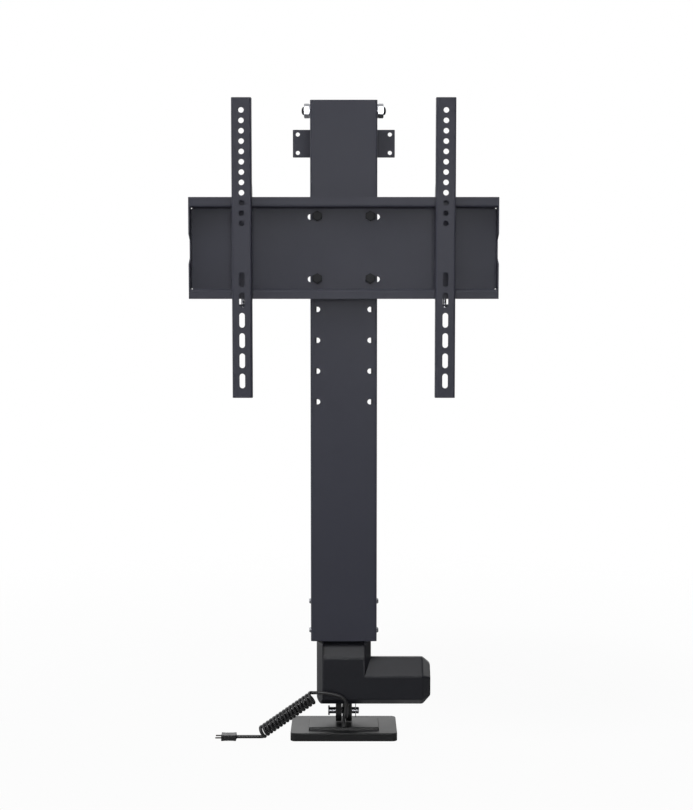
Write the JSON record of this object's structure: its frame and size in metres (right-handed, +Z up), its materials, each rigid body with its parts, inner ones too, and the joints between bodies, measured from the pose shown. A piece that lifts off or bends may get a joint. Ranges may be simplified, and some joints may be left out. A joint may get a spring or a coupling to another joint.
{
  "type": "tv lift mechanism",
  "caption": "Electric TV lift: a hole-punched steel column rises on a fixed post by a worm-driven screw, carrying a wide plate with sliding rails, on a pivoting foot with a curly cord.",
  "frame": {"origin": "on the floor, under the axis of the screw drive", "axes": "+Z up along the lift, +X to the right as the television is viewed, +Y towards the wall"},
  "size_m": [0.4574, 0.124, 0.965],
  "materials": {
    "powder_coated_steel": "satin powder coat",
    "painted_base": "satin paint",
    "moulded_housing": "fine moulded grain",
    "painted_casting": "satin paint",
    "bright_zinc": "bright zinc plate",
    "machined_steel": "turned",
    "bronze": "turned",
    "nylon": "moulded",
    "cord_jacket": "satin",
    "plug_contacts": "plain"
  },
  "bodies": {
    "frame": {"front_housing": "moulded_housing", "rear_housing": "moulded_housing", "housing_screws": "bright_zinc", "rear_fork": "painted_casting", "clevis_pin": "bright_zinc", "pin_clip": "bright_zinc", "motor_can": "machined_steel", "spindle_bearings": "machined_steel", "worm_bush": "bronze", "outer_tube": "powder_coated_steel", "tube_gland": "moulded_housing", "guide_post": "powder_coated_steel", "post_screws": "bright_zinc", "wall_bracket": "powder_coated_steel", "bracket_screws": "bright_zinc", "post_shoes": "nylon", "post_shoe_screws": "bright_zinc", "cable_gland": "moulded_housing", "cord_lead": "cord_jacket", "cord_coil": "cord_jacket", "cord_tail": "cord_jacket", "plug_body": "cord_jacket", "plug_pins": "plug_contacts"},
    "foot": {"base_plate": "painted_base", "pivot_pad": "powder_coated_steel", "pad_screws": "bright_zinc"},
    "carriage": {"lift_column": "powder_coated_steel", "column_shoes": "nylon", "column_shoe_screws": "bright_zinc", "cross_bolt": "bright_zinc", "cross_nuts": "bright_zinc", "spacer_tubes": "bright_zinc", "rod_end": "bright_zinc", "push_rod": "bright_zinc", "drive_nut": "bronze", "tv_plate": "powder_coated_steel", "plate_bolts": "bright_zinc", "plate_nuts": "bright_zinc"},
    "left_arm": {"left_rail": "powder_coated_steel", "left_lock_screw": "bright_zinc"},
    "right_arm": {"right_rail": "powder_coated_steel", "right_lock_screw": "bright_zinc"},
    "screw": {"lead_screw": "machined_steel", "worm_wheel": "bronze"},
    "worm": {"worm_shaft": "machined_steel"}
  },
  "joints": [
    {"name": "lift", "type": "slide", "parent": "frame", "child": "carriage", "axis": [0, 0, 1], "range_m": [0, 0.66]},
    {"name": "left_rail_slide", "type": "slide", "parent": "carriage", "child": "left_arm", "axis": [1, 0, 0], "range_m": [-0.05, 0.048]},
    {"name": "right_rail_slide", "type": "slide", "parent": "carriage", "child": "right_arm", "axis": [1, 0, 0], "range_m": [-0.048, 0.05]},
    {"name": "foot_tilt", "type": "hinge", "parent": "frame", "child": "foot", "pos_m": [0, 0, 0.0346], "axis": [1, 0, 0], "range_deg": [-5, 5]},
    {"name": "screw_turn", "type": "hinge", "parent": "frame", "child": "screw", "pos_m": [0, 0, 0.087], "axis": [0, 0, 1], "continuous": true},
    {"name": "worm_turn", "type": "hinge", "parent": "frame", "child": "worm", "pos_m": [0, -0.019, 0.087], "axis": [1, 0, 0], "continuous": true}
  ],
  "couplings": [
    {"joint": "screw_turn", "follows": "lift", "rad_per_m": -392.7},
    {"joint": "worm_turn", "follows": "lift", "rad_per_m": 7854}
  ]
}
